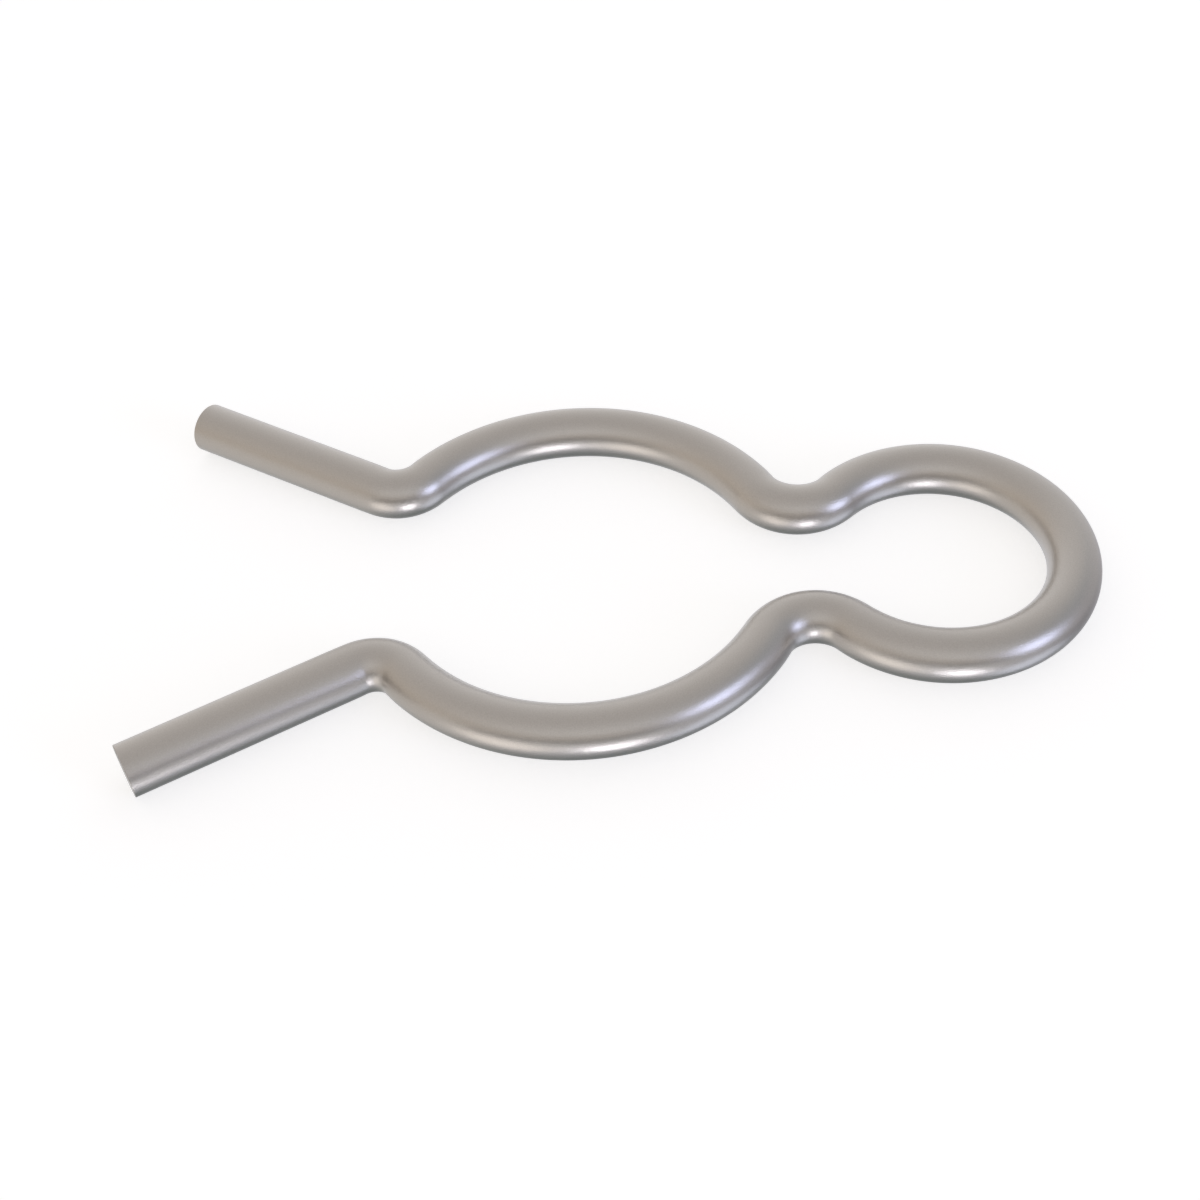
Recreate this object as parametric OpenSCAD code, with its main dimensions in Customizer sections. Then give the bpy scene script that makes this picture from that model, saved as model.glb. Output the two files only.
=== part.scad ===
// Clip pin: one length of round spring wire, bent flat and cut square at both ends.
// A large loop springs round a shaft, a neck divides it from a small pull loop, and
// two splayed legs lead the shaft in through the mouth.
// The origin is on the shaft's axis in the middle plane of the wire. +X points to the
// pull loop and +Z along the shaft, and the clip is the same on both sides of X.

/* [Wire] */
// Diameter of the spring wire
wire_d = 2; // [1:0.1:3]
// How much thinner the wire is round its tight bends, where bending has stretched it
bend_thinning = 0.03; // [0.02:0.01:0.1]

/* [Shaft loop] */
// Inside diameter of the large loop, which is the size of the shaft it holds
shaft_loop_d = 14; // [10:0.5:30]
// Clear gap between the two leg bends, where the shaft comes in
mouth_gap = 7.2; // [3:0.1:9.5]

/* [Pull loop] */
// Inside diameter of the small loop
pull_loop_d = 8; // [6:0.5:14]
// Clear gap between the two neck bends, where the loops meet
neck_gap = 3.8; // [1:0.1:5.5]
// Inside radius of each neck bend
neck_bend_r = 1; // [0.5:0.1:3]

/* [Legs] */
// Straight length of each leg, from its bend to its cut end
leg_length = 8.8; // [3:0.1:20]
// Angle between each leg and the clip's long axis
leg_splay = 30; // [10:1:60]
// Inside radius of the bend at the root of each leg
leg_bend_r = 0.5; // [0.3:0.1:2]

/* [Hidden] */
$fn = 96;

// Length by which a tight bend runs on into the wire at each of its ends
tuck = 0.05;

// Radius of the wire, in full and round a tight bend
wire_r = wire_d / 2;
bend_r = (wire_d - bend_thinning) / 2;

// Radius of the wire's centreline round each loop and bend
shaft_line_r = shaft_loop_d / 2 + wire_r;
pull_line_r = pull_loop_d / 2 + wire_r;
neck_line_r = neck_bend_r + bend_r;
leg_line_r = leg_bend_r + bend_r;

// A neck bend curls the other way from both loops and touches each of them, so the
// gap at the neck sets where its centre is and how far apart the loops are.
neck_y = neck_gap / 2 + bend_r + neck_line_r;
neck_x = sqrt((shaft_line_r + neck_line_r) ^ 2 - neck_y ^ 2);
pull_x = neck_x + sqrt((pull_line_r + neck_line_r) ^ 2 - neck_y ^ 2);

// A leg bend touches the shaft loop from outside too, on the mouth's side.
leg_bend_y = mouth_gap / 2 + bend_r + leg_line_r;
leg_bend_x = -sqrt((shaft_line_r + leg_line_r) ^ 2 - leg_bend_y ^ 2);

// Directions from the loops' centres to the places where the bends take over
shaft_to_neck = atan2(neck_y, neck_x);
shaft_to_leg = atan2(leg_bend_y, leg_bend_x);
pull_to_neck = atan2(neck_y, neck_x - pull_x);

// The leg leaves its bend square to this direction from the bend's centre.
bend_to_leg = 270 - leg_splay;
leg_root = [
    leg_bend_x + leg_line_r * cos(bend_to_leg),
    leg_bend_y + leg_line_r * sin(bend_to_leg),
    0
];

// Round wire that turns about a centre, counter-clockwise from one direction to another.
module curved_wire(centre, line_r, section_r, from, to) {
    translate(centre)
        rotate([0, 0, from])
            rotate_extrude(angle = to - from)
                translate([line_r, 0])
                    circle(r = section_r);
}

// A tight bend is thinner than the wire that it runs on into, so its ends are buried.
module tight_bend(centre, line_r, from, to) {
    tuck_angle = tuck / line_r * 180 / PI;
    curved_wire(centre, line_r, bend_r, from - tuck_angle, to + tuck_angle);
}

// The straight leg, from the end of its bend to the square cut.
module leg() {
    translate(leg_root)
        rotate([0, 90, bend_to_leg - 90])
            cylinder(r = wire_r, h = leg_length);
}

// The wire on one side of the long axis, from the pull loop to the cut end.
module side_wire() {
    tight_bend([neck_x, neck_y, 0], neck_line_r, 180 + shaft_to_neck, 180 + pull_to_neck);
    curved_wire([0, 0, 0], shaft_line_r, wire_r, shaft_to_neck, shaft_to_leg);
    tight_bend([leg_bend_x, leg_bend_y, 0], leg_line_r, bend_to_leg, 180 + shaft_to_leg);
    leg();
}

module bent_wire() {
    color([0.62, 0.60, 0.57]) {
        curved_wire([pull_x, 0, 0], pull_line_r, wire_r, -pull_to_neck, pull_to_neck);
        side_wire();
        mirror([0, 1, 0])
            side_wire();
    }
}

bent_wire();
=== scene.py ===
# %% [markdown]
# # A clip pin from one length of wire
# A clip pin is a single length of round spring wire, bent flat and cut off at both ends. A large open
# loop springs round a shaft, a narrow neck divides it from a small loop to pull on, and two splayed legs
# guide the shaft in through the mouth.
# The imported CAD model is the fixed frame: it says where the clip is and how big it is. This lesson makes
# the clip that is looked at, so the first step is to load that frame and to keep its box for later.

from math import atan2, cos, degrees, pi, radians, sin, sqrt, tan

import bmesh
import bpy
from mathutils import Matrix, Vector


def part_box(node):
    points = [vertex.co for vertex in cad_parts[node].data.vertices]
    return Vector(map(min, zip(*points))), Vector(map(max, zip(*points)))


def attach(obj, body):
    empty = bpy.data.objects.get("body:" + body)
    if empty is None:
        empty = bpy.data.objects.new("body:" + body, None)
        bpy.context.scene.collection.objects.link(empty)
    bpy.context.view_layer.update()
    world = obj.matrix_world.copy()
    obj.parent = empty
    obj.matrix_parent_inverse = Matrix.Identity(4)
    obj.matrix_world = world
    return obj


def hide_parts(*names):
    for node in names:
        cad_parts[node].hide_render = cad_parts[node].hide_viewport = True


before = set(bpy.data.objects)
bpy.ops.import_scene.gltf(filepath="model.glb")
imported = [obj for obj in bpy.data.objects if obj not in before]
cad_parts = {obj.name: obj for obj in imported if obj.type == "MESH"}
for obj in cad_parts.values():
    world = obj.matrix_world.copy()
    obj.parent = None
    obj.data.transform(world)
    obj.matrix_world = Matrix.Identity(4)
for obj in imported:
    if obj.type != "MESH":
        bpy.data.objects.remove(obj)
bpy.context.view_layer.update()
print("nodes in the frame:", sorted(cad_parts))

# %% [markdown]
# ## The sizes of the bends
# A wire bender works from a short list: the wire, the inside size of each loop and bend, the two gaps,
# and the straight length that is left for the legs. These are the same values, in millimetres, as the
# part was designed with, so the piece made here lands on the CAD solid with no fitting.

# %% Sizes from the design
MM = 0.001

wire_d = 2.0
bend_thinning = 0.03
shaft_loop_d = 14.0
mouth_gap = 7.2
pull_loop_d = 8.0
neck_gap = 3.8
neck_bend_r = 1.0
leg_length = 8.8
leg_splay = radians(30)
leg_bend_r = 0.5

wire_r = wire_d / 2
bend_r = (wire_d - bend_thinning) / 2
shaft_line_r = shaft_loop_d / 2 + wire_r
pull_line_r = pull_loop_d / 2 + wire_r
neck_line_r = neck_bend_r + bend_r
leg_line_r = leg_bend_r + bend_r
print("centreline radii in mm:", shaft_line_r, pull_line_r, neck_line_r, leg_line_r)

# %% [markdown]
# ## How far each bend turns
# Neighbouring bends touch without a kink, so their centres lie on one straight line through the place
# where they meet. Each gap therefore fixes a triangle, and the triangle's angles say how far the wire
# turns in each bend. Working this out, rather than placing points by eye, is what keeps the long flowing
# curve of the real wire.

# %% Turns from the gaps
neck_y = neck_gap / 2 + bend_r + neck_line_r
neck_x = sqrt((shaft_line_r + neck_line_r) ** 2 - neck_y ** 2)
pull_x = neck_x + sqrt((pull_line_r + neck_line_r) ** 2 - neck_y ** 2)
leg_bend_y = mouth_gap / 2 + bend_r + leg_line_r
leg_bend_x = -sqrt((shaft_line_r + leg_line_r) ** 2 - leg_bend_y ** 2)

shaft_to_neck = atan2(neck_y, neck_x)
shaft_to_leg = atan2(leg_bend_y, leg_bend_x)
pull_to_neck = atan2(neck_y, neck_x - pull_x)

# From the crown of the pull loop outwards: name, centreline radius in mm, and signed turn.
# A plus turn curls round the inside of the clip, and a minus turn curls the other way.
bends = [
    ("Pull Loop", pull_line_r, pull_to_neck),
    ("Neck Bend", neck_line_r, shaft_to_neck - pull_to_neck),
    ("Shaft Loop", shaft_line_r, shaft_to_leg - shaft_to_neck),
    ("Leg Bend", leg_line_r, pi / 2 - leg_splay - shaft_to_leg),
]
for name, radius, turn in bends:
    print(f"{name}: radius {radius:.3f} mm, turn {degrees(turn):.2f} degrees")
wire_length = 2 * (sum(radius * abs(turn) for name, radius, turn in bends) + leg_length)
print(f"wire cut to {wire_length:.2f} mm")

# %% [markdown]
# ## One helper for every node
# Shaders and Geometry Nodes are both built from nodes, so one small function serves the whole lesson. It
# adds a node, sets its options, and fills each input with a value or with a link from another node.

# %% Helper that adds a node
def add(tree, kind, inputs=None, **settings):
    """Adds one node. An input takes a plain value, a socket, or a node whose first live output is meant."""
    node = tree.nodes.new(kind)
    for name, value in settings.items():
        setattr(node, name, value)
    for name, value in (inputs or {}).items():
        if isinstance(value, bpy.types.Node):
            value = next(out for out in value.outputs if out.enabled)
        if isinstance(value, bpy.types.NodeSocket):
            tree.links.new(value, node.inputs[name])
        else:
            node.inputs[name].default_value = value
    return node


print("helper ready")

# %% [markdown]
# ## A wire bender in Geometry Nodes
# The clip could be modelled from pieces of torus that are joined end to end, but every joint would then
# show in the mesh. A real clip has no joints: straight wire is fed forward and turned on the way. The
# tree below does the same. It takes a straight line, works out the heading of the wire at each short step,
# and adds the steps up. Its inputs are the sizes on the bender's list.

# %% Inputs of the bender
bender = bpy.data.node_groups.new("wire_bender", "GeometryNodeTree")
bender.is_modifier = True
bender_sizes = {
    "Wire Diameter": ("DISTANCE", wire_d * MM),
    "Bend Thinning": ("DISTANCE", bend_thinning * MM),
    "Leg Length": ("DISTANCE", leg_length * MM),
    "Crown": ("DISTANCE", (pull_x + pull_line_r) * MM),
}
for name, radius, turn in bends:
    bender_sizes[name + " Radius"] = ("DISTANCE", radius * MM)
    bender_sizes[name + " Turn"] = ("ANGLE", turn)
bender_counts = {"Steps": 480, "Sides": 72}

socket_of = {}
bender.interface.new_socket("Geometry", in_out="OUTPUT", socket_type="NodeSocketGeometry")
for name, (subtype, value) in bender_sizes.items():
    socket = bender.interface.new_socket(name, in_out="INPUT", socket_type="NodeSocketFloat")
    socket.subtype = subtype
    socket_of[name] = socket.identifier
for name in bender_counts:
    socket = bender.interface.new_socket(name, in_out="INPUT", socket_type="NodeSocketInt")
    socket_of[name] = socket.identifier
socket = bender.interface.new_socket("Finish", in_out="INPUT", socket_type="NodeSocketMaterial")
socket_of["Finish"] = socket.identifier
size = add(bender, "NodeGroupInput").outputs
print("bender inputs:", list(socket_of))

# %% [markdown]
# ### The straight wire
# The wire starts as a straight line of equal short steps, with its middle at the crown of the pull loop.
# Its length is added up in the tree from the same inputs as the bends, so a change to one size changes how
# much wire is used, as it would at the bench. Each point keeps its distance from the middle in an
# attribute, because its place is about to change.

# %% Straight wire and its distance from the crown
reach = 0.0
bend_ends = []
for name, radius, turn in bends:
    bend_radius, bend_turn = size[name + " Radius"], size[name + " Turn"]
    length = add(bender, "ShaderNodeMath", {0: bend_radius, 1: bend_turn}, operation="MULTIPLY")
    length = add(bender, "ShaderNodeMath", {0: length}, operation="ABSOLUTE")
    start = reach
    reach = add(bender, "ShaderNodeMath", {0: start, 1: length}, operation="ADD")
    bend_ends.append((name, start, reach))
half_length = add(bender, "ShaderNodeMath", {0: reach, 1: size["Leg Length"]}, operation="ADD")
minus_half = add(bender, "ShaderNodeMath", {0: half_length, 1: -1.0}, operation="MULTIPLY")
far_end = add(bender, "ShaderNodeCombineXYZ", {"X": half_length})
near_end = add(bender, "ShaderNodeCombineXYZ", {"X": minus_half})
straight = add(bender, "GeometryNodeCurvePrimitiveLine", {"Start": near_end, "End": far_end})
twice = add(bender, "ShaderNodeMath", {0: size["Steps"], 1: 2.0}, operation="MULTIPLY")
points = add(bender, "ShaderNodeMath", {0: twice, 1: 1.0}, operation="ADD")
straight = add(bender, "GeometryNodeResampleCurve", {"Curve": straight, "Count": points})
place = add(bender, "GeometryNodeInputPosition")
feed = add(bender, "ShaderNodeSeparateXYZ", {0: place}).outputs["X"]
straight = add(
    bender,
    "GeometryNodeStoreNamedAttribute",
    {"Geometry": straight, "Name": "along_wire", "Value": feed},
    data_type="FLOAT",
    domain="POINT",
)
along = add(bender, "GeometryNodeInputNamedAttribute", {"Name": "along_wire"}, data_type="FLOAT")
print("stretches:", [name for name, start, end in bend_ends])

# %% [markdown]
# ### The heading
# The heading is the direction in which the wire goes on. It could be read from a drawn curve, but then the
# bends would only be as round as that curve. Along a bend the heading changes evenly, so one Map Range node
# per bend is enough: it turns the distance from the crown into that bend's share of the turn, and stays at
# nothing before the bend and at the full turn after it. The two halves mirror each other.

# %% Heading at the middle of each step
step = add(bender, "ShaderNodeMath", {0: half_length, 1: size["Steps"]}, operation="DIVIDE")
half_step = add(bender, "ShaderNodeMath", {0: step, 1: 0.5}, operation="MULTIPLY")
middle = add(bender, "ShaderNodeMath", {0: along, 1: half_step}, operation="SUBTRACT")
from_crown = add(bender, "ShaderNodeMath", {0: middle}, operation="ABSOLUTE")
side = add(bender, "ShaderNodeMath", {0: middle}, operation="SIGN")
turned = 0.0
for name, start, end in bend_ends:
    share = add(
        bender,
        "ShaderNodeMapRange",
        {"Value": from_crown, "From Min": start, "From Max": end, "To Max": size[name + " Turn"]},
    )
    turned = add(bender, "ShaderNodeMath", {0: turned, 1: share}, operation="ADD")
heading_at_crown = pi / 2
heading = add(
    bender,
    "ShaderNodeMath",
    {0: turned, 1: side, 2: heading_at_crown},
    operation="MULTIPLY_ADD",
)
print("heading follows", len(bend_ends), "bends on each side")

# %% [markdown]
# ### The path
# A short step along each heading, added to all the steps before it, gives the bent path. The sum starts at
# one end of the wire, so the sum at the crown is taken off again, and the crown goes to its place in the
# frame. The curve's normals are set upright, because the wire is bent flat and its section must not twist.

# %% Add the steps up and put the crown in its place
forward = add(
    bender,
    "ShaderNodeCombineXYZ",
    {
        "X": add(bender, "ShaderNodeMath", {0: heading}, operation="COSINE"),
        "Y": add(bender, "ShaderNodeMath", {0: heading}, operation="SINE"),
    },
)
forward = add(bender, "ShaderNodeVectorMath", {0: forward, "Scale": step}, operation="SCALE")
summed = add(bender, "GeometryNodeAccumulateField", {0: forward}, data_type="FLOAT_VECTOR", domain="POINT")
summed = summed.outputs["Leading"]
at_crown = add(
    bender,
    "GeometryNodeFieldAtIndex",
    {"Index": size["Steps"], "Value": summed},
    data_type="FLOAT_VECTOR",
    domain="POINT",
)
bent = add(bender, "ShaderNodeVectorMath", {0: summed, 1: at_crown}, operation="SUBTRACT")
crown = add(bender, "ShaderNodeCombineXYZ", {"X": size["Crown"]})
bent = add(bender, "ShaderNodeVectorMath", {0: bent, 1: crown}, operation="ADD")
path = add(bender, "GeometryNodeSetPosition", {"Geometry": straight, "Position": bent})
path = add(bender, "GeometryNodeSetCurveNormal", {"Curve": path}, mode="Z_UP")
print(f"crown at x = {pull_x + pull_line_r:.3f} mm")

# %% [markdown]
# ## Round section, thinner in the tight bends
# Wire that is bent tightly stretches on the outside and comes out a little thinner. Here that is 0.03 mm
# on the neck and leg bends, eased over half a millimetre on each side of a joint. The section is a circle
# that is swept along the path and scaled by what the bend leaves of it.

# %% Sweep the section along the path
ease = 0.5 * MM
tight_bends = ("Neck Bend", "Leg Bend")
distance = add(bender, "ShaderNodeMath", {0: along}, operation="ABSOLUTE")
tightness = 0.0
for name, start, end in bend_ends:
    if name not in tight_bends:
        continue
    for joint, sign in ((start, 1.0), (end, -1.0)):
        share = add(
            bender,
            "ShaderNodeMapRange",
            {
                "Value": distance,
                "From Min": add(bender, "ShaderNodeMath", {0: joint, 1: -ease}, operation="ADD"),
                "From Max": add(bender, "ShaderNodeMath", {0: joint, 1: ease}, operation="ADD"),
                "To Min": 0.0,
                "To Max": sign,
            },
            interpolation_type="SMOOTHSTEP",
        )
        tightness = add(bender, "ShaderNodeMath", {0: tightness, 1: share}, operation="ADD")
thinning, diameter = size["Bend Thinning"], size["Wire Diameter"]
thinner = add(bender, "ShaderNodeMath", {0: thinning, 1: diameter}, operation="DIVIDE")
lost = add(bender, "ShaderNodeMath", {0: tightness, 1: thinner}, operation="MULTIPLY")
thickness = add(bender, "ShaderNodeMath", {0: 1.0, 1: lost}, operation="SUBTRACT")

section_r = add(bender, "ShaderNodeMath", {0: diameter, 1: 0.5}, operation="MULTIPLY")
section = add(bender, "GeometryNodeCurvePrimitiveCircle", {"Resolution": size["Sides"], "Radius": section_r})
section = add(
    bender,
    "GeometryNodeStoreNamedAttribute",
    {"Geometry": section, "Name": "round_wire", "Value": place},
    data_type="FLOAT_VECTOR",
    domain="POINT",
)
swept = add(
    bender,
    "GeometryNodeCurveToMesh",
    {"Curve": path, "Profile Curve": section, "Scale": thickness, "Fill Caps": True},
)
print(f"section {wire_d} mm, thinner by {bend_thinning} mm in", tight_bends)

# %% [markdown]
# ### Marks for the finish
# The finish needs two marks on the mesh. One is the place that each point had on the straight wire, so that
# the lines run along it as they did when the wire was drawn, through all the bends and without a seam. The
# other says which faces are cut ends. Both are stored as named attributes, which the material can read.

# %% Keep the place on the straight wire, mark the cut ends and finish the tree
around = add(bender, "GeometryNodeInputNamedAttribute", {"Name": "round_wire"}, data_type="FLOAT_VECTOR")
around = add(bender, "ShaderNodeSeparateXYZ", {0: around})
unbent = add(
    bender,
    "ShaderNodeCombineXYZ",
    {"X": along, "Y": around.outputs["X"], "Z": around.outputs["Y"]},
)
swept = add(
    bender,
    "GeometryNodeStoreNamedAttribute",
    {"Geometry": swept, "Name": "straight_wire", "Value": unbent},
    data_type="FLOAT_VECTOR",
    domain="POINT",
)
for spent in ("along_wire", "round_wire"):
    swept = add(bender, "GeometryNodeRemoveAttribute", {"Geometry": swept, "Name": spent})
# Faces along the wire have four corners, and a cut end has one for each side of the section.
corner_limit = 4.5
corners = add(bender, "GeometryNodeInputMeshFaceNeighbors").outputs["Vertex Count"]
is_cut = add(bender, "ShaderNodeMath", {0: corners, 1: corner_limit}, operation="GREATER_THAN")
swept = add(
    bender,
    "GeometryNodeStoreNamedAttribute",
    {"Geometry": swept, "Name": "cut_end", "Value": is_cut},
    data_type="FLOAT",
    domain="FACE",
)
swept = add(bender, "GeometryNodeSetShadeSmooth", {"Geometry": swept, "Shade Smooth": True})
swept = add(bender, "GeometryNodeRealizeInstances", {"Geometry": swept})
swept = add(bender, "GeometryNodeSetMaterial", {"Geometry": swept, "Material": size["Finish"]})
add(bender, "NodeGroupOutput", {"Geometry": swept})
print("bender tree has", len(bender.nodes), "nodes")

# %% [markdown]
# ## Colours
# Colours are picked as they look on a screen, so they are written as sRGB hex values. Blender's shaders
# count light, and want linear values. One function turns the first into the second.

# %% Hex colour to linear
def linear(hex_colour):
    """Linear RGBA of an sRGB colour such as #C8C6C2."""
    parts = [int(hex_colour[i:i + 2], 16) / 255 for i in (1, 3, 5)]
    return tuple(c / 12.92 if c <= 0.04045 else ((c + 0.055) / 1.055) ** 2.4 for c in parts) + (1.0,)


print("mid grey in linear light:", [round(c, 3) for c in linear("#808080")])

# %% [markdown]
# ## The finish: drawn stainless spring wire
# Spring wire is pulled cold through a die and then straightened, which leaves a satin skin: fine lines
# that run along the wire, with a soft grain between them. It could be painted as a flat grey metal, but
# then the long highlights would look like plastic film. So the lines and the grain change the roughness,
# the height and the colour of the skin a little.

# %% Lines, grain and patches of the satin skin
wire_finish = bpy.data.materials.new("drawn_stainless_spring_wire_satin")
wire_finish.use_nodes = True
skin = wire_finish.node_tree
skin.nodes.clear()

on_wire = add(skin, "ShaderNodeAttribute", attribute_name="straight_wire").outputs["Vector"]

# Die lines are about 0.02 mm apart on real wire, too fine for the picture, so they are drawn 0.12 mm apart.
line_spacing = 0.12 * MM
line_length = 9.0 * MM
stretched = add(
    skin,
    "ShaderNodeVectorMath",
    {0: on_wire, 1: (1 / line_length, 1 / line_spacing, 1 / line_spacing)},
    operation="MULTIPLY",
)
die_lines = add(
    skin,
    "ShaderNodeTexNoise",
    {"Vector": stretched, "Scale": 1.0, "Detail": 2.0, "Roughness": 0.6},
)

# The grain is a few hundredths of a millimetre, about one picture point, so it is drawn at its real size.
grain_size = 0.045 * MM
grain = add(skin, "ShaderNodeTexNoise", {"Vector": on_wire, "Scale": 1 / grain_size, "Detail": 1.0})

# Handling leaves cloudy patches a few millimetres long.
patch_size = 4.0 * MM
patches = add(skin, "ShaderNodeTexNoise", {"Vector": on_wire, "Scale": 1 / patch_size, "Detail": 2.0})
print(f"die lines {line_spacing / MM:.2f} mm apart, grain {grain_size / MM:.3f} mm")
print(f"patches {patch_size / MM:.0f} mm")

# %% [markdown]
# ### The cut ends
# The cut ends look different. A shear rubs the first part of the face smooth, with lines along its stroke,
# and then the rest tears away, which leaves it dull and grainy. Both parts are drawn in the same material,
# because the wire is one piece of metal, and the faces that the bender marked say where they go.

# %% Rubbed and torn parts of the cut ends
on_cut = add(skin, "ShaderNodeAttribute", attribute_name="cut_end").outputs["Fac"]
stroke_spacing = 0.1 * MM
stroke_length = 1.5 * MM
along_stroke = add(
    skin,
    "ShaderNodeVectorMath",
    {0: on_wire, 1: (0.0, 1 / stroke_spacing, 1 / stroke_length)},
    operation="MULTIPLY",
)
strokes = add(skin, "ShaderNodeTexNoise", {"Vector": along_stroke, "Scale": 1.0, "Detail": 2.0})
tear_size = 0.15 * MM
tear = add(skin, "ShaderNodeTexNoise", {"Vector": on_wire, "Scale": 1 / tear_size, "Detail": 3.0})

# The border between the two parts wavers by a tenth of a millimetre and fades over a quarter of one.
waver = 0.4 * MM
rubbed_from = 0.5 * MM
torn_from = 0.25 * MM
depth = add(skin, "ShaderNodeSeparateXYZ", {0: on_wire}).outputs["Z"]
border = add(skin, "ShaderNodeMath", {0: strokes, 1: waver, 2: depth}, operation="MULTIPLY_ADD")
torn = add(
    skin,
    "ShaderNodeMapRange",
    {"Value": border, "From Min": rubbed_from, "From Max": torn_from},
    interpolation_type="SMOOTHSTEP",
)
print(f"cut ends: lines {stroke_spacing / MM:.2f} mm apart, tear grain {tear_size / MM:.2f} mm")

# %% [markdown]
# ### From patterns to metal
# The patterns now set height, roughness and colour. Each of the three could have a pattern of its own, but
# a real mark on metal changes all of them at the same place, so they share the patterns. The height goes
# through a Bump node, because marks of a few micrometres are too fine for the mesh.

# %% Height of the finish
# Depths are in micrometres. The rubbed part lies level with the middle of the torn part.
one_step = 1.0e-6
line_depth = 0.2
grain_depth = 6.5
stroke_depth = 4.0
tear_depth = 9.0
stroke_level = (tear_depth - stroke_depth) / 2
lines_height = add(skin, "ShaderNodeMath", {0: die_lines, 1: line_depth}, operation="MULTIPLY")
skin_height = add(
    skin,
    "ShaderNodeMath",
    {0: grain, 1: grain_depth, 2: lines_height},
    operation="MULTIPLY_ADD",
)
rubbed_height = add(
    skin,
    "ShaderNodeMath",
    {0: strokes, 1: stroke_depth, 2: stroke_level},
    operation="MULTIPLY_ADD",
)
torn_height = add(skin, "ShaderNodeMath", {0: tear, 1: tear_depth}, operation="MULTIPLY")
cut_height = add(skin, "ShaderNodeMix", {0: torn, 2: rubbed_height, 3: torn_height}, data_type="FLOAT")
height = add(skin, "ShaderNodeMix", {0: on_cut, 2: skin_height, 3: cut_height}, data_type="FLOAT")
bump = add(skin, "ShaderNodeBump", {"Strength": 1.0, "Distance": one_step, "Height": height})
print("depths in micrometres: grain", grain_depth, "strokes", stroke_depth, "tear", tear_depth)

# %% Roughness of the finish
# Most of a noise lies between these two values.
between = {"From Min": 0.3, "From Max": 0.7}
satin_roughness = {"To Min": 0.30, "To Max": 0.32}
patch_roughness = {"To Min": -0.02, "To Max": 0.02}
cut_roughness = {"To Min": 0.26, "To Max": 0.42}
satin = add(skin, "ShaderNodeMapRange", {"Value": die_lines, **between, **satin_roughness})
cloud = add(skin, "ShaderNodeMapRange", {"Value": patches, **between, **patch_roughness})
satin = add(skin, "ShaderNodeMath", {0: satin, 1: cloud}, operation="ADD")
cut_rough = add(skin, "ShaderNodeMapRange", {"Value": torn, **cut_roughness})
rough = add(skin, "ShaderNodeMix", {0: on_cut, 2: satin, 3: cut_rough}, data_type="FLOAT")
print("roughness of the skin:", list(satin_roughness.values()))
print("roughness of the cuts:", list(cut_roughness.values()))

# %% Colour of the finish
# Stainless steel is a pale grey, a little warm. The torn part of a cut is the darkest.
stroke_marks = add(skin, "ShaderNodeMapRange", {"Value": strokes, **between})
tear_marks = add(skin, "ShaderNodeMapRange", {"Value": tear, **between})
tones = {
    "satin": (grain, "#B8B4AF", "#CCC8C3"),
    "rubbed": (stroke_marks, "#B6B3AF", "#D0CDC9"),
    "torn": (tear_marks, "#94918D", "#BEBBB7"),
}
tone_of = {}
for part, (share, dark, pale) in tones.items():
    mixed = {0: share, 6: linear(dark), 7: linear(pale)}
    tone_of[part] = add(skin, "ShaderNodeMix", mixed, data_type="RGBA")
cut_tone = add(skin, "ShaderNodeMix", {0: torn, 6: tone_of["rubbed"], 7: tone_of["torn"]}, data_type="RGBA")
tone = add(skin, "ShaderNodeMix", {0: on_cut, 6: tone_of["satin"], 7: cut_tone}, data_type="RGBA")
steel = add(
    skin,
    "ShaderNodeBsdfPrincipled",
    {"Base Color": tone, "Metallic": 1.0, "Roughness": rough, "Normal": bump},
)
add(skin, "ShaderNodeOutputMaterial", {"Surface": steel})
print("finish:", wire_finish.name, "with", len(skin.nodes), "nodes")

# %% [markdown]
# ## Bending and cutting the piece
# The bender's inputs are set by their identifiers, and the ends are cut square. A cutter leaves an edge
# that is broken by two hundredths of a millimetre, which is what catches the light at the rim, so a small
# Bevel follows the bender. The result is then turned into a plain mesh with no modifiers left on it.

# %% Set up the bender
wire = bpy.data.objects.new("clip_wire", bpy.data.meshes.new("clip_wire_start"))
bpy.context.scene.collection.objects.link(wire)
bend = wire.modifiers.new("bend", "NODES")
bend.node_group = bender
for name, (subtype, value) in bender_sizes.items():
    bend[socket_of[name]] = value
for name, value in bender_counts.items():
    bend[socket_of[name]] = value
bend[socket_of["Finish"]] = wire_finish
print("bender has", len(socket_of), "inputs")

# %% Break the edges and make the wire
broken_edge = 0.02 * MM
edge_steps = 3
sharp_from = radians(60)

deburr = wire.modifiers.new("deburr", "BEVEL")
deburr.width = broken_edge
deburr.segments = edge_steps
deburr.limit_method = "ANGLE"
deburr.angle_limit = sharp_from
deburr.harden_normals = True

depsgraph = bpy.context.evaluated_depsgraph_get()
made = bpy.data.meshes.new_from_object(
    wire.evaluated_get(depsgraph),
    preserve_all_data_layers=True,
    depsgraph=depsgraph,
)
wire.modifiers.clear()
wire.data = made
made.name = "clip_wire"
print("clip_wire has", len(made.vertices), "points and", len(made.polygons), "faces")

# %% [markdown]
# ### Measuring the piece
# The piece is measured before it is used, like any part that comes off a bench: its volume, any open edges,
# and its box beside the CAD model's. A closed mesh with the right box needs no other fitting.

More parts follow.
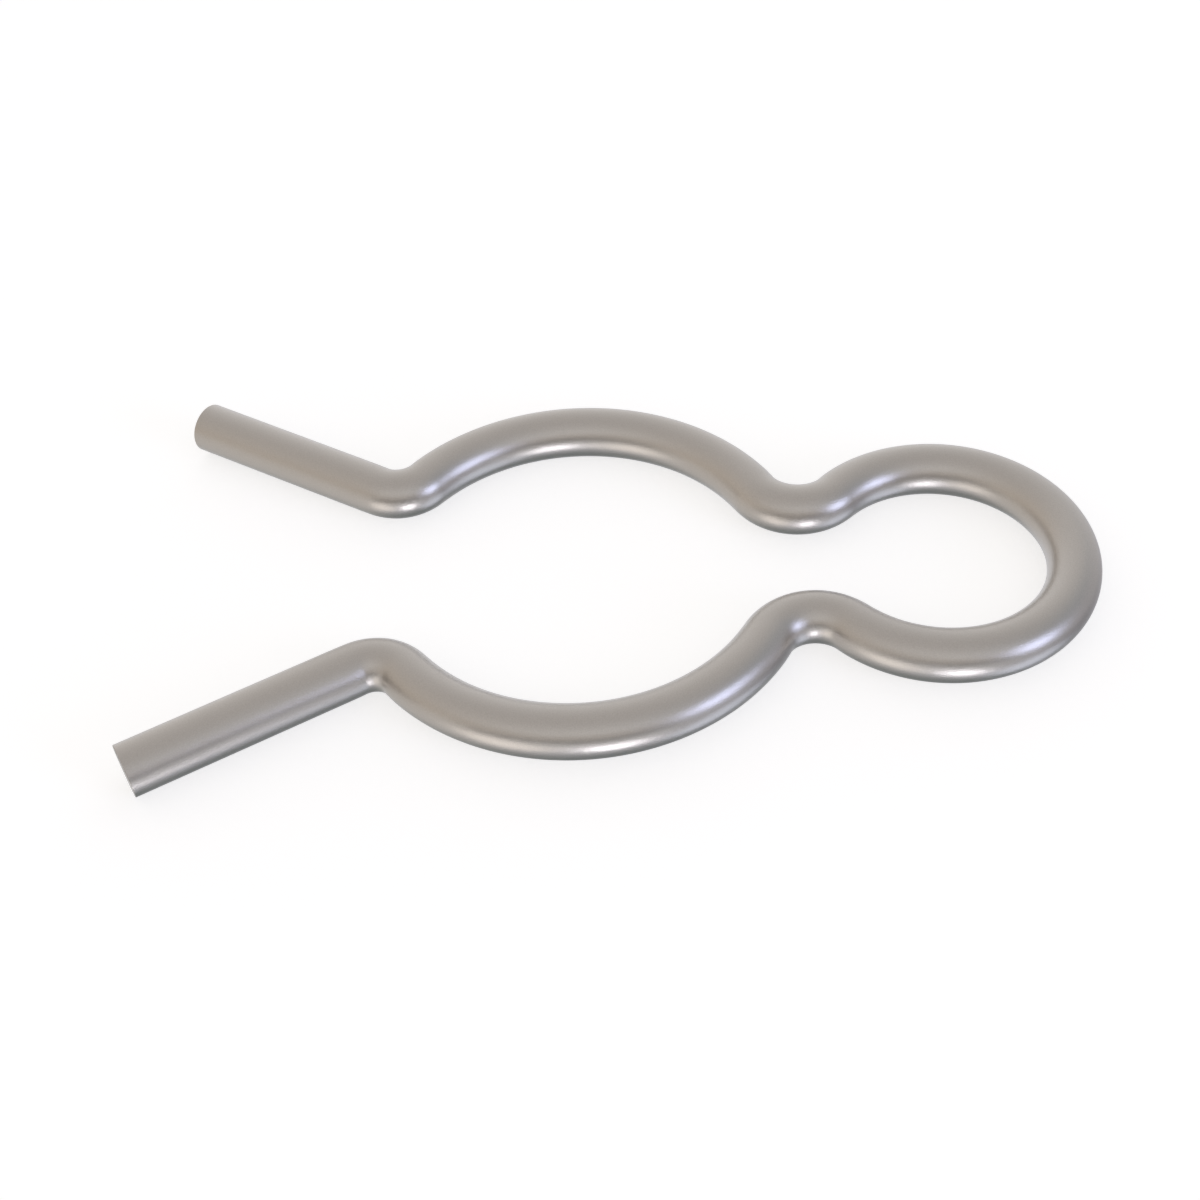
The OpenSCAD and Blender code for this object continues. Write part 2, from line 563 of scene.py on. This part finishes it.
# %% Measure the wire
check = bmesh.new()
check.from_mesh(made)
volume = check.calc_volume(signed=True)
open_edges = sum(1 for edge in check.edges if not edge.is_manifold)
triangles = sum(len(face.verts) - 2 for face in check.faces)
check.free()
by_axis = list(zip(*(v.co for v in made.vertices)))
low = Vector([min(values) for values in by_axis])
high = Vector([max(values) for values in by_axis])
cad_low, cad_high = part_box("bent_wire")
print(f"volume {volume * 1e9:.2f} cubic mm, open edges {open_edges}, triangles {triangles}")
print("made box in mm:", [round(1000 * v, 3) for v in (*low, *high)])
print("CAD box in mm: ", [round(1000 * v, 3) for v in (*cad_low, *cad_high)])

# %% [markdown]
# ## Riding on the frame
# The clip is one rigid piece, so it rides on the frame's only body and stands for the CAD node, which
# stays for collision but isn't shown.

# %% Join the wire to the frame
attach(wire, "root")
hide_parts("bent_wire")
print(wire.name, "rides on root")

# %% [markdown]
# ## A shooting table
# Small metal parts are photographed on white by laying them on a thin sheet of opal acrylic. The room
# lights the sheet from above and lamps under it make it glow, so it shows as white without more light on
# the metal, and a soft shadow stays under the wire. The glow is given to what the camera and the
# reflections see. A thin sheet also lets most of a reflection through to the space below, which is where
# the bright streaks along the lower edges of the wire come from.

# %% Opal sheet under the clip
sheet_size = 6.0
room_side = linear("#C8C8C8")
glow_level = 0.63
see_through = 0.8

bpy.ops.mesh.primitive_plane_add(size=sheet_size, location=(0, 0, cad_low.z))
floor = bpy.context.object
floor.name = "floor"
opal = bpy.data.materials.new("opal_acrylic_sheet")
opal.use_nodes = True
sheet = opal.node_tree
sheet.nodes.clear()
ray = add(sheet, "ShaderNodeLightPath").outputs
seen = add(sheet, "ShaderNodeMath", {0: ray["Is Camera Ray"], 1: ray["Is Glossy Ray"]}, operation="MAXIMUM")
seen = add(sheet, "ShaderNodeMath", {0: seen, 1: ray["Is Transmission Ray"]}, operation="MAXIMUM")
lift = add(sheet, "ShaderNodeMath", {0: seen, 1: glow_level}, operation="MULTIPLY")
matt = add(sheet, "ShaderNodeBsdfDiffuse", {"Color": room_side})
glow = add(sheet, "ShaderNodeEmission", {"Strength": lift})
white = add(sheet, "ShaderNodeAddShader", {0: matt, 1: glow})
glossy, shadow = ray["Is Glossy Ray"], ray["Is Shadow Ray"]
passing = add(sheet, "ShaderNodeMath", {0: glossy, 1: shadow}, operation="MAXIMUM")
passing = add(sheet, "ShaderNodeMath", {0: passing, 1: see_through}, operation="MULTIPLY")
clear = add(sheet, "ShaderNodeBsdfTransparent")
surface = add(sheet, "ShaderNodeMixShader", {0: passing, 1: white, 2: clear})
add(sheet, "ShaderNodeOutputMaterial", {"Surface": surface})
floor.data.materials.append(opal)
print("sheet at z =", round(1000 * cad_low.z, 3), "mm")

# %% [markdown]
# ## The room round the table
# Satin metal shows the room as soft bands, so the room is planned for its reflections. All its walls are
# pale: the back one is the brightest, the left one is warm, and the right one is cooler and darker. Each
# wall has a few tones by height, where 1 is straight up and 0 is level with the table. What lies below 0
# is the space under the table, which shows only through the sheet.

# %% Walls of the room
underneath = "#425355"
overhead = "#CECAC8"
front_wall = [(-0.75, "#A7AAB4"), (0.0, "#E1E1E1"), (0.4, "#C5BBB3"), (0.55, "#F1EFEE")]
back_wall = [(-0.75, "#F2F5FE"), (0.12, "#F8F6F6")]
left_wall = [(-0.75, "#D5D2CF"), (0.12, "#DACFC3")]
right_wall = [(-0.4, "#6E6B77"), (0.12, "#BBB9BC"), (0.55, "#AEB2B8")]
directions = [
    ((0, -1, 0), front_wall),
    ((0, 1, 0), back_wall),
    ((-1, 0, 0), left_wall),
    ((1, 0, 0), right_wall),
]

room = bpy.data.worlds.new("soft_studio")
bpy.context.scene.world = room
room.use_nodes = True
walls = room.node_tree
walls.nodes.clear()
look = add(walls, "ShaderNodeTexCoord").outputs["Generated"]
look_height = add(walls, "ShaderNodeSeparateXYZ", {0: look}).outputs["Z"]
look_height = add(walls, "ShaderNodeMapRange", {"Value": look_height, "From Min": -1.0})
level_look = add(walls, "ShaderNodeVectorMath", {0: look, 1: (1, 1, 0)}, operation="MULTIPLY")
level_look = add(walls, "ShaderNodeVectorMath", {0: level_look}, operation="NORMALIZE")
paint = (0, 0, 0)
# A wall's share is its cosine squared, so the shares of the four walls add up to one all round.
for facing, wall_tones in directions:
    ramp = add(walls, "ShaderNodeValToRGB", {0: look_height})
    marks = ramp.color_ramp.elements
    marks.remove(marks[1])
    marks[0].color = linear(underneath)
    for wall_height, colour in [*wall_tones, (1.0, overhead)]:
        marks.new((wall_height + 1) / 2).color = linear(colour)
    share = add(walls, "ShaderNodeVectorMath", {0: level_look, 1: facing}, operation="DOT_PRODUCT")
    share = add(walls, "ShaderNodeMath", {0: share, 1: 0.0}, operation="MAXIMUM")
    share = add(walls, "ShaderNodeMath", {0: share, 1: 2.0}, operation="POWER")
    painted = add(walls, "ShaderNodeVectorMath", {0: ramp, "Scale": share}, operation="SCALE")
    paint = add(walls, "ShaderNodeVectorMath", {0: paint, 1: painted}, operation="ADD")
lit_room = add(walls, "ShaderNodeBackground", {"Color": paint, "Strength": 1.0})
add(walls, "ShaderNodeOutputWorld", {"Surface": lit_room})
print("walls:", len(directions))

# %% [markdown]
# ## A grey card in front
# Metal among pale walls looks flat. A photographer stands a long grey card in front of the table, below
# the camera's view, and the wire then shows it as a soft dark line above its bright lower edge, which
# makes it look round. Only the reflections need the card, so it is hidden from the camera.

# %% Grey card
card_away = 0.8
card_half_width = 0.8
card_top = 0.16
card_corners = [
    (-card_half_width, -card_away, cad_low.z),
    (card_half_width, -card_away, cad_low.z),
    (card_half_width, -card_away, card_top),
    (-card_half_width, -card_away, card_top),
]
card_mesh = bpy.data.meshes.new("grey_card")
card_mesh.from_pydata(card_corners, [], [(0, 1, 2, 3)])
card = bpy.data.objects.new("grey_card", card_mesh)
bpy.context.scene.collection.objects.link(card)
card.visible_camera = False
card_board = bpy.data.materials.new("matt_grey_card")
card_board.use_nodes = True
board = card_board.node_tree
board.nodes.clear()
matt_grey = add(board, "ShaderNodeBsdfDiffuse", {"Color": linear("#808080")})
add(board, "ShaderNodeOutputMaterial", {"Surface": matt_grey})
card_mesh.materials.append(card_board)
print(f"card: {2 * card_half_width:.1f} m wide, {card_top:.2f} m tall")

# %% [markdown]
# ## One window and three table lamps
# A cool window stands to the right and draws the pale violet streaks on the flanks of the loops. Three
# soft lamps shine up through the sheet: a bright one in front and two weaker ones beside it. A lamp's
# brightness is given as it looks, where 1 is white, and its power follows from its area.

# %% Window and lamps
def towards(azimuth, elevation):
    """Unit direction; azimuth 0 is towards the camera's side, -Y, and 90 towards +X."""
    az, el = radians(azimuth), radians(elevation)
    return Vector((sin(az) * cos(el), -cos(az) * cos(el), sin(el)))


lamp_distance = 0.4
# Name, azimuth, elevation and width in degrees, colour, brightness.
lamps = [
    ("side_window", 59.5, 17, 26, "#CED8FF", 3.0),
    ("table_lamp_front", 13, -30, 20, "#F6F5FF", 6.0),
    ("table_lamp_left", -32, -26, 36, "#FFF5EC", 1.0),
    ("table_lamp_right", 64, -42, 36, "#E2EAFF", 1.1),
]
for name, azimuth, elevation, width, colour, brightness in lamps:
    disc_r = lamp_distance * tan(radians(width / 2))
    disc_area = pi * disc_r ** 2
    lamp = bpy.data.lights.new(name, "AREA")
    lamp.shape = "DISK"
    lamp.size = 2 * disc_r
    lamp.energy = brightness * pi * disc_area
    lamp.color = linear(colour)[:3]
    holder = bpy.data.objects.new(name, lamp)
    bpy.context.scene.collection.objects.link(holder)
    holder.location = lamp_distance * towards(azimuth, elevation)
    holder.rotation_euler = towards(azimuth, elevation).to_track_quat("Z", "Y").to_euler()
    holder.visible_camera = False
    print(f"{name}: {lamp.energy:.3f} W")

# %% [markdown]
# ## The camera
# The view is the photograph's: the clip lies level and is seen from a little to the right of the front,
# 46 degrees up. The lens is an ordinary 50 mm one, close enough for the near leg to look larger than the
# far one.

# %% Camera
camera_azimuth = 2.8622
camera_elevation = 46.1158
camera_roll = radians(-3.9062)
camera_distance = 62.4223 * MM
camera_target = Vector((0.8711, -1.6824, 0.0)) * MM

back = towards(camera_azimuth, camera_elevation)
right = towards(camera_azimuth + 90, 0)
up = back.cross(right)
across = right * cos(camera_roll) + up * sin(camera_roll)
upward = up * cos(camera_roll) - right * sin(camera_roll)

camera = bpy.data.objects.new("camera", bpy.data.cameras.new("camera"))
bpy.context.scene.collection.objects.link(camera)
turn_to_view = Matrix((across, upward, back)).transposed().to_4x4()
camera.matrix_world = Matrix.Translation(camera_target + camera_distance * back) @ turn_to_view
camera.data.lens = 50.0
camera.data.sensor_width = 36.0
camera.data.clip_start = 1.0 * MM
camera.data.clip_end = 10.0
bpy.context.scene.camera = camera
print("camera at", [round(v, 4) for v in camera.location])

# %% [markdown]
# ## Colours as they are written
# The Standard view shows colours as they are written.

# %% View
bpy.context.scene.view_settings.view_transform = "Standard"
